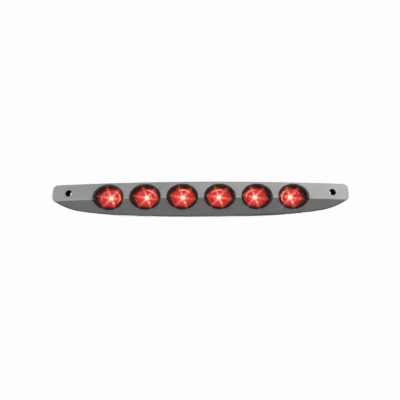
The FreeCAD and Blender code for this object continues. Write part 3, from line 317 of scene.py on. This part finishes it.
def lit_reflector(port):
    """Metallised facets with the LED's red light painted on them as emission, and painted
    highlights along the folds between them; the flange stays dark, with a faint painted glow.
    """
    g = Graph(f"lit_reflector_{port}")
    x, z = port_place(g, port)
    reach = g.length(x, z)
    tall = g.math("MULTIPLY", z, BOWL_STRETCH)
    from_fold, reach_out = hexagon(g, x, tall)
    mottle = g.noise(420, 3)

    # painted light: the LED's red light on the facets is emission, hotter near the LED, with
    # painted highlights on the folds and the rim
    glow = g.mix(g.ramp(mottle, 0.35, 0.7), (0.50, 0.012, 0.022, 1), (0.78, 0.07, 0.08, 1))
    glow = g.over(glow, g.ramp(reach, 6.0, 1.8), 0.5, (1.0, 0.55, 0.45, 1))
    fold = g.math("MULTIPLY", g.ramp(from_fold, 0.55, 0.05),
                  g.ramp(reach_out, 0.45, 0.95, 0.04, 0.75))
    glow = g.mix(fold, glow, (1.1, 0.75, 0.30, 1))
    inside = g.ramp(reach_out, 1.02, 0.98)
    rim = g.math("MULTIPLY", inside, g.ramp(reach_out, 0.90, 0.96))
    glow = g.over(glow, rim, 0.35, (0.90, 0.50, 0.25, 1))
    # painted glints near the LED
    sparkle = g.math("MULTIPLY", g.ramp(g.noise(800, 2), 0.56, 0.66), g.ramp(reach, 11, 3))
    glow = g.over(glow, sparkle, 0.55, (1.0, 0.75, 0.65, 1))
    # painted reflection of the LED in the lower facets, and a painted bow of light
    from_glint = g.length(g.math("SUBTRACT", x, GLINT[0]), g.math("SUBTRACT", z, GLINT[1]))
    glow = g.over(glow, g.ramp(from_glint, 1.9, 0.6), 0.8, (1.3, 1.2, 1.0, 1))
    lean = g.math("WRAP", g.math("SUBTRACT", g.math("ARCTAN2", z, x), bow_angle(port)),
                  math.pi, -math.pi)
    across_bow = g.math("ABSOLUTE", g.math("SUBTRACT", g.length(x, tall), BOW_RADIUS))
    bow = g.math("MULTIPLY", g.ramp(across_bow, 1.2, 0.3),
                 g.ramp(g.math("ABSOLUTE", lean), 0.95, 0.45))
    glow = g.over(glow, bow, g.ramp(mottle, 0.3, 0.6, 0.5, 1.0), (1.3, 1.05, 0.62, 1))

    mirror = g.add("BsdfPrincipled", {
        "Base Color": (0.5, 0.10, 0.09, 1), "Metallic": 1.0, "Roughness": 0.25,
        "Normal": g.bump(mottle, 0.3, 0.1 * MM)}, out="BSDF")
    lit = g.add("AddShader", {0: mirror, 1: g.glow(glow, 0.78, 0.30)})
    dark = g.mix(g.ramp(mottle, 0.3, 0.7), (0.010, 0.003, 0.003, 1), (0.03, 0.008, 0.008, 1))
    rim_gloss = g.add("BsdfPrincipled", {"Base Color": dark, "Roughness": 0.4}, out="BSDF")
    # painted glow: a faint red-brown emission on the flange
    ember = g.glow((0.05, 0.022, 0.018, 1), 1.0, 1.0)
    flange = g.add("AddShader", {0: rim_gloss, 1: ember})
    return g.finish(g.add("MixShader", {0: inside, 1: flange, 2: lit}))


def led_body(port):
    """Red-lit epoxy with a white-hot dome and tinned pins."""
    g = Graph(f"led_body_{port}")
    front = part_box(f"led_{port}")[0].y
    y = g.parts(g.place())[1]
    core = g.ramp(g.length(*port_place(g, port)), 1.6, 1.0)
    skin = g.mix(g.ramp(g.noise(900, 2), 0.3, 0.7), (0.8, 0.08, 0.06, 1), (0.9, 0.14, 0.1, 1))
    epoxy = g.add("BsdfPrincipled", {"Base Color": skin, "Roughness": 0.25}, out="BSDF")
    hot = g.mix(core, (1.0, 0.45, 0.3, 1), (1.0, 0.93, 0.78, 1))
    light = g.glow(hot, g.ramp(core, 0, 1, 1.5, 16.0), 0.1)
    pins = g.add("BsdfPrincipled", {"Base Color": grey(0.6), "Metallic": 1.0,
                                    "Roughness": 0.3}, out="BSDF")
    in_pins = g.ramp(y, front + (PINS_START - 0.05) * MM, front + PINS_START * MM)
    base = g.add("MixShader", {0: in_pins, 1: epoxy, 2: pins})
    in_dome = g.ramp(y, front + DOME_HEIGHT * MM, front + DOME_HEIGHT * 0.85 * MM)
    return g.finish(g.add("MixShader", {0: in_dome, 1: base, 2: light}))


def foam():
    """Closed-cell foam: small pits on a dull dark skin."""
    g = Graph("foam_gasket")
    cells = g.add("TexVoronoi", {"Vector": g.place(), "Scale": 1700.0}, out="Distance")
    cloud = g.noise(70, 4)
    body = g.mix(g.ramp(cells, 0.05, 0.5), grey(0.012), grey(0.04))
    body = g.over(body, g.ramp(cloud, 0.5, 0.8), 0.4, grey(0.075))
    return g.finish(g.add("BsdfPrincipled", {
        "Base Color": body, "Roughness": 0.92, "Specular IOR Level": 0.2,
        "Normal": g.bump(cells, 0.8, 0.15 * MM)}, out="BSDF"))


def board():
    """Green solder mask with faint tracks under it."""
    g = Graph("board_laminate")
    stretch = g.add("Mapping", {"Vector": g.place(), "Scale": (90, 90, 420)}, out="Vector")
    tracks = g.add("TexVoronoi", {"Vector": stretch, "Scale": 1.0}, out="Distance",
                   distance="CHEBYCHEV")
    body = g.mix(g.ramp(tracks, 0.32, 0.36), (0.012, 0.12, 0.035, 1), (0.02, 0.2, 0.06, 1))
    return g.finish(g.add("BsdfPrincipled", {
        "Base Color": body, "Roughness": g.ramp(g.noise(400, 2), 0.3, 0.7, 0.22, 0.32),
        "Normal": g.bump(tracks, 0.2, 0.03 * MM)}, out="BSDF"))


def dress(node, material):
    """Give a CAD node its material."""
    thing = NODES[node]
    thing.data.materials.clear()
    thing.data.materials.append(material)


def dress_all():
    rubber = plastic("seal_rubber", grey(0.028), rough=0.62, grain=900, edge_highlight=0.1, sheen=0.3)
    steel = metal("zinc_steel", (0.62, 0.6, 0.55, 1), 0.32, (500, 500, 500))
    black = plastic("cover_plastic", grey(0.045), rough=0.48, grain=1300, depth=0.04)
    chips = plastic("chip_black", grey(0.02), rough=0.4)
    shared = {
        "housing": housing_paint(),
        "rear_cover": black,
        "cover_seal": rubber,
        "cable_grommet": rubber,
        "vent_plug": plastic("vent_plastic", grey(0.09), rough=0.5),
        "cover_screws": steel,
        "board_screws": steel,
        "circuit_board": board(),
        "resistors": chips,
        "protection_diode": chips,
        "capacitor": metal("capacitor_can", (0.7, 0.7, 0.7, 1), 0.25, (300, 40, 300)),
        "solder_joints": metal("solder", (0.7, 0.7, 0.72, 1), 0.2, (300, 300, 300)),
        "led_spacers": plastic("spacer_plastic", (0.6, 0.6, 0.55, 1), rough=0.5),
        "feed_wire": plastic("wire_red", (0.42, 0.012, 0.012, 1), rough=0.32, grain=700),
        "ground_wire": plastic("wire_black", grey(0.015), rough=0.32, grain=700),
        "connector_housing": plastic("plug_plastic", grey(0.06), rough=0.48, depth=0.03),
        "terminals": metal("contact_brass", (0.8, 0.62, 0.32, 1), 0.28, (60, 900, 900)),
        "terminal_lock": plastic("lock_plastic", (0.5, 0.06, 0.03, 1), rough=0.45),
        "wire_seals": plastic("wire_seal_rubber", (0.05, 0.16, 0.4, 1), rough=0.55),
    }
    for node, material in shared.items():
        dress(node, material)
    bezel, lens = bezel_black(), red_lens()
    for port in PORTS:
        dress(f"bezel_ring_{port}", bezel)
        dress(f"lens_{port}", lens)
        dress(f"lens_seal_{port}", rubber)
        dress(f"reflector_{port}", lit_reflector(port))
        dress(f"led_{port}", led_body(port))


# ---------------------------------------------------------------- pieces built here


def new_object(name, shape):
    """Smooth mesh object from a bmesh, which it frees."""
    mesh = bpy.data.meshes.new(name)
    bmesh.ops.recalc_face_normals(shape, faces=shape.faces)
    shape.to_mesh(mesh)
    shape.free()
    mesh.shade_smooth()
    thing = bpy.data.objects.new(name, mesh)
    bpy.context.scene.collection.objects.link(thing)
    return thing


def applied(thing):
    """Turn the modifiers of an object into its mesh."""
    graph = bpy.context.evaluated_depsgraph_get()
    mesh = bpy.data.meshes.new_from_object(thing.evaluated_get(graph))
    thing.modifiers.clear()
    thing.data = mesh
    return thing


def stand_in(thing, node, material):
    """Let a piece made here stand for a CAD node."""
    thing.data.materials.clear()
    thing.data.materials.append(material)
    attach(thing, "root")
    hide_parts(node)


WELD = 0.002  # points of a CAD mesh nearer than this are one point
FOAM_CELL = 0.55  # size of the faces of the foam


def foam_frame():
    """The foam gasket: die-cut sheet with soft edges and an uneven, dimpled skin."""
    shape = bmesh.new()
    shape.from_mesh(NODES["mounting_gasket"].data)
    bmesh.ops.remove_doubles(shape, verts=shape.verts, dist=WELD * MM)
    foam_piece = new_object("foam_frame", shape)
    remesh = foam_piece.modifiers.new("cells", "REMESH")
    remesh.mode = "VOXEL"
    remesh.voxel_size = FOAM_CELL * MM
    relax = foam_piece.modifiers.new("relax", "SMOOTH")
    relax.factor, relax.iterations = 0.5, 3
    applied(foam_piece)
    low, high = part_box("mounting_gasket")
    middle = (low.y + high.y) / 2
    mesh = foam_piece.data
    normals = [vertex.normal.copy() for vertex in mesh.vertices]
    for vertex, normal in zip(mesh.vertices, normals):
        place = vertex.co
        dimple = noise.noise(place * 900) * 0.05 + noise.noise(place * 160) * 0.04
        bulge = 0.12 * (1 - abs(normal.y)) * (1 - abs(place.y - middle) / (high.y - middle))
        moved = place + normal * (dimple + bulge - 0.05) * MM
        moved.y = min(max(moved.y, low.y), high.y)
        vertex.co = moved
    mesh.shade_smooth()
    stand_in(foam_piece, "mounting_gasket", foam())


# cable sleeve, millimetres
SLEEVE_BEND = 16.0
SLEEVE_BORE = 2.75
SLEEVE_STEP = 0.6  # ring to ring
AROUND = 40  # faces round the sleeve
ANGLES = [math.tau * index / AROUND for index in range(AROUND)]


def tube_path(low, high, radius):
    """Places and headings back along +Y, round a quarter bend and on along +X."""
    back_y, end_x, start = high.y / MM - radius, high.x / MM, low.y / MM
    bend = SLEEVE_BEND
    straight = back_y - bend - start
    points = []
    count = int(straight / SLEEVE_STEP)
    for index in range(count):
        points.append(((0.0, start + straight * index / count), (0.0, 1.0)))
    count = int(bend * math.pi / 2 / SLEEVE_STEP)
    for index in range(count):
        turn = math.pi / 2 * index / count
        points.append(((bend - bend * math.cos(turn), back_y - bend + bend * math.sin(turn)),
                       (math.sin(turn), math.cos(turn))))
    count = int((end_x - bend) / SLEEVE_STEP)
    for index in range(count + 1):
        points.append(((bend + (end_x - bend) * index / count, back_y), (1.0, 0.0)))
    return points


def skin_of_sleeve(radius, angle, travelled, bent):
    """Distance of the skin from the axis: extrusion ridges, and creases inside the bend."""
    ridge = 0.018 * math.cos(10 * angle)
    crease = 0.09 * bent * max(0.0, -math.cos(angle)) * math.cos(travelled * 2.6)
    return radius + ridge + crease - 0.05 - abs(crease) * 0.3


def cable_sleeve():
    """PVC sleeve: ridges, slight creases in its bend and a soft cut end."""
    low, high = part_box("cable_sleeve")
    radius = -low.x / MM
    height = (low.z + high.z) / 2 / MM
    shape = bmesh.new()

    def ring(place, heading, reaches):
        side = (-heading[1], heading[0])
        return [shape.verts.new(((place[0] + side[0] * math.cos(angle) * reach) * MM,
                                 (place[1] + side[1] * math.cos(angle) * reach) * MM,
                                 (height + math.sin(angle) * reach) * MM))
                for angle, reach in zip(ANGLES, reaches)]

    path = tube_path(low, high, radius)
    rings = []
    travelled = 0.0
    last = path[0][0]
    for place, heading in path:
        travelled += math.dist(place, last)
        last = place
        bent = 4 * heading[0] * heading[1] if 0 < heading[0] < 1 else 0.0
        rings.append(ring(place, heading, [skin_of_sleeve(radius, angle, travelled, bent)
                                           for angle in ANGLES]))
    (end_x, end_y), end_heading = path[-1]
    for reach, inwards in ((radius - 0.12, 0.0), (SLEEVE_BORE + 0.1, 0.0), (SLEEVE_BORE, -0.15)):
        rings.append(ring((end_x + inwards, end_y), end_heading, [reach] * AROUND))
    for place, heading in reversed(path[:-1]):
        rings.append(ring(place, heading, [SLEEVE_BORE] * AROUND))
    rings.append(rings[0])
    for first, second in zip(rings, rings[1:]):
        for index in range(AROUND):
            after = (index + 1) % AROUND
            shape.faces.new((first[index], first[after], second[after], second[index]))
    material = plastic("cable_pvc", grey(0.032), rough=0.38, grain=500)
    stand_in(new_object("pvc_sleeve", shape), "cable_sleeve", material)


MOULDING_RADII = {
    "rear_cover": 0.18, "connector_housing": 0.22, "terminal_lock": 0.2, "vent_plug": 0.12,
    "cable_grommet": 0.15, "cover_screws": 0.08,
    **{f"bezel_ring_{port}": 0.25 for port in PORTS}}


def soften_edges():
    """Small moulding radii on the plain CAD edges that show."""
    for node, width in MOULDING_RADII.items():
        thing = NODES[node]
        weld = thing.modifiers.new("weld", "WELD")
        weld.merge_threshold = WELD * MM
        bevel = thing.modifiers.new("bevel", "BEVEL")
        bevel.width = width * MM
        bevel.segments = 2
        bevel.limit_method = "ANGLE"
        bevel.angle_limit = math.radians(40)


# ---------------------------------------------------------------- stage, light and camera


FLOOR_LEVEL = -0.16
SKY_BELOW, SKY_ABOVE = 0.155, 0.70
SKY_LEAN = 0.45  # the sky is this much brighter at the right and darker at the left

# name: (place, aim, width, height, power), in metres and watts
SOFTBOXES = {
    "key": ((0.85, -0.55, 0.60), (0, 0, 0), 0.6, 0.5, 5.3),
    "fill": ((-0.6, -0.7, 0.25), (0, 0, 0), 0.6, 0.6, 0.7),
    "strip": ((0.10, -0.30, 0.33), (0, 0, 0), 0.40, 0.06, 0.6),
    "side": ((-1.0, -0.30, 0.10), (0, 0, 0), 1.2, 1.0, 6.0),
    "low_left": ((-0.75, -0.50, -0.10), (-0.12, 0, 0), 0.4, 0.2, 0.5),
    "low": ((0.75, -0.50, -0.04), (0.12, 0, 0), 0.4, 0.2, 0.7),
    "back": ((-0.25, 0.80, -0.05), (0, 0, 0), 0.9, 0.2, 5.5),
    "back_side": ((0.55, 0.75, -0.05), (0, 0, 0), 0.5, 0.2, 3),
}

# camera: millimetres and degrees
EYE = (-3.5, -349.5, -42.3)
YAW, PITCH, ROLL = 0.42, 6.05, 0.36
FOCAL_LENGTH = 318 / 400  # in picture widths
SENSOR = 36.0


def stage_floor():
    """Plain pale floor well below the lamp; it bounces only a little light upwards."""
    mesh = bpy.data.meshes.new("floor")
    shape = bmesh.new()
    bmesh.ops.create_circle(shape, cap_ends=True, segments=96, radius=6.0)
    shape.to_mesh(mesh)
    shape.free()
    floor = bpy.data.objects.new("floor", mesh)
    floor.location.z = FLOOR_LEVEL
    bpy.context.scene.collection.objects.link(floor)
    g = Graph("floor_paper")
    pale = g.add("Emission", {"Color": grey(1.0), "Strength": 0.98})
    fibre = g.mix(g.ramp(g.noise(4, 3), 0.3, 0.7), grey(0.26), grey(0.29))
    paper = g.add("BsdfDiffuse", {"Color": fibre})
    seen = g.add("LightPath", out="Is Camera Ray")
    floor.data.materials.append(g.finish(g.add("MixShader", {0: seen, 1: paper, 2: pale})))


def world():
    """White to the camera; to the lamp, brighter above than below and to the right."""
    g = Graph(bpy.data.worlds.new("studio"))
    x, _, z = g.parts(g.add("TexCoord", out="Generated"))
    strength = g.math("MULTIPLY", g.ramp(z, -1.0, 1.0, SKY_BELOW, SKY_ABOVE, smooth=False),
                      g.math("MULTIPLY_ADD", x, SKY_LEAN, 1.0))
    lit = g.add("Background", {"Strength": strength})
    seen = g.add("Background", {"Color": grey(0.98)})
    camera_ray = g.add("LightPath", out="Is Camera Ray")
    mixed = g.add("MixShader", {0: camera_ray, 1: lit, 2: seen})
    bpy.context.scene.world = g.finish(mixed, "OutputWorld")


def softbox(name, place, aim, width, height, power):
    data = bpy.data.lights.new(name, "AREA")
    data.shape, data.size, data.size_y = "RECTANGLE", width, height
    data.energy = power
    light = bpy.data.objects.new(name, data)
    light.location = place
    light.rotation_euler = (Vector(aim) - Vector(place)).to_track_quat("-Z", "Y").to_euler()
    bpy.context.scene.collection.objects.link(light)


def camera():
    """From the front, a little below the lamp, looking slightly up."""
    data = bpy.data.cameras.new("camera")
    data.sensor_width = SENSOR
    data.lens = SENSOR * FOCAL_LENGTH
    data.clip_start, data.clip_end = 0.01, 50
    eye = bpy.data.objects.new("camera", data)
    eye.location = [length * MM for length in EYE]
    yaw, pitch, roll = (math.radians(angle) for angle in (YAW, PITCH, ROLL))
    eye.rotation_euler = (Matrix.Rotation(-yaw, 3, "Z") @ Matrix.Rotation(
        math.pi / 2 + pitch, 3, "X") @ Matrix.Rotation(-roll, 3, "Z")).to_euler()
    bpy.context.scene.collection.objects.link(eye)
    bpy.context.scene.camera = eye


def flare(tree, image, threshold, strength, fade, passes, tint):
    """Six streaks from every point above the threshold, as a six-bladed lens draws them."""
    glare = tree.nodes.new("CompositorNodeGlare")
    glare.glare_type = "STREAKS"
    glare.quality = "HIGH"
    settings = {"Threshold": threshold, "Strength": strength, "Streaks": 6,
                "Streaks Angle": FACET_TURN, "Iterations": passes, "Fade": fade,
                "Color Modulation": 0.05, "Tint": tint, "Maximum": 20.0}
    for name, value in settings.items():
        glare.inputs[name].default_value = value
    tree.links.new(image, glare.inputs["Image"])
    return glare.outputs["Image"]


def picture():
    """Plain view transform, and the flare that a lens gives to bare bright points."""
    scene = bpy.context.scene
    scene.view_settings.view_transform = "Standard"
    scene.cycles.use_denoising = True
    scene.use_nodes = True
    tree = scene.node_tree
    tree.nodes.clear()
    layers = tree.nodes.new("CompositorNodeRLayers")
    result = tree.nodes.new("CompositorNodeComposite")
    image = flare(tree, layers.outputs["Image"], threshold=2.0, strength=0.6, fade=0.79,
                  passes=4, tint=(1.0, 0.45, 0.35, 1.0))
    image = flare(tree, image, threshold=4.0, strength=1.0, fade=0.35,
                  passes=2, tint=(1.0, 0.82, 0.68, 1.0))
    tree.links.new(image, result.inputs["Image"])


dress_all()
foam_frame()
cable_sleeve()
soften_edges()
stage_floor()
world()
for light_name, settings in SOFTBOXES.items():
    softbox(light_name, *settings)
camera()
picture()
